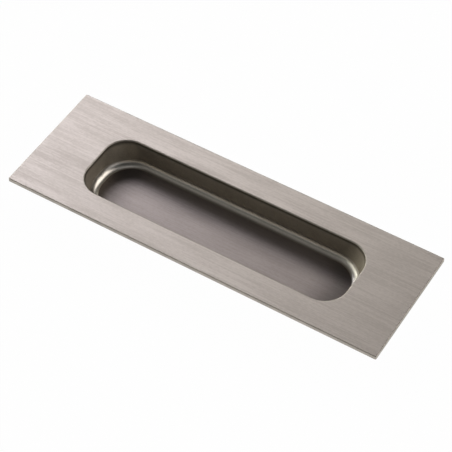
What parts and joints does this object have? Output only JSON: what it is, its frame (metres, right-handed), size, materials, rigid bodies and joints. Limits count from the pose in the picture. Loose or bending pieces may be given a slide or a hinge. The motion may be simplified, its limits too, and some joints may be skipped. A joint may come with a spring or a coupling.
{
  "type": "flush pull",
  "caption": "Rectangular flush pull: a flat brushed face plate with a rounded finger recess in its middle, let into a door or drawer front.",
  "frame": {"origin": "centre of the plate's back, the plane that lies on the door's face", "axes": "+Z out of the face towards the hand, +X along the plate's length, +Y across it"},
  "size_m": [0.152, 0.05, 0.0123],
  "materials": {
    "brushed_nickel": "satin nickel, brushed along the length, smoother on the recess walls"
  },
  "bodies": {
    "root": {"flush_pull": "brushed_nickel"}
  },
  "joints": []
}
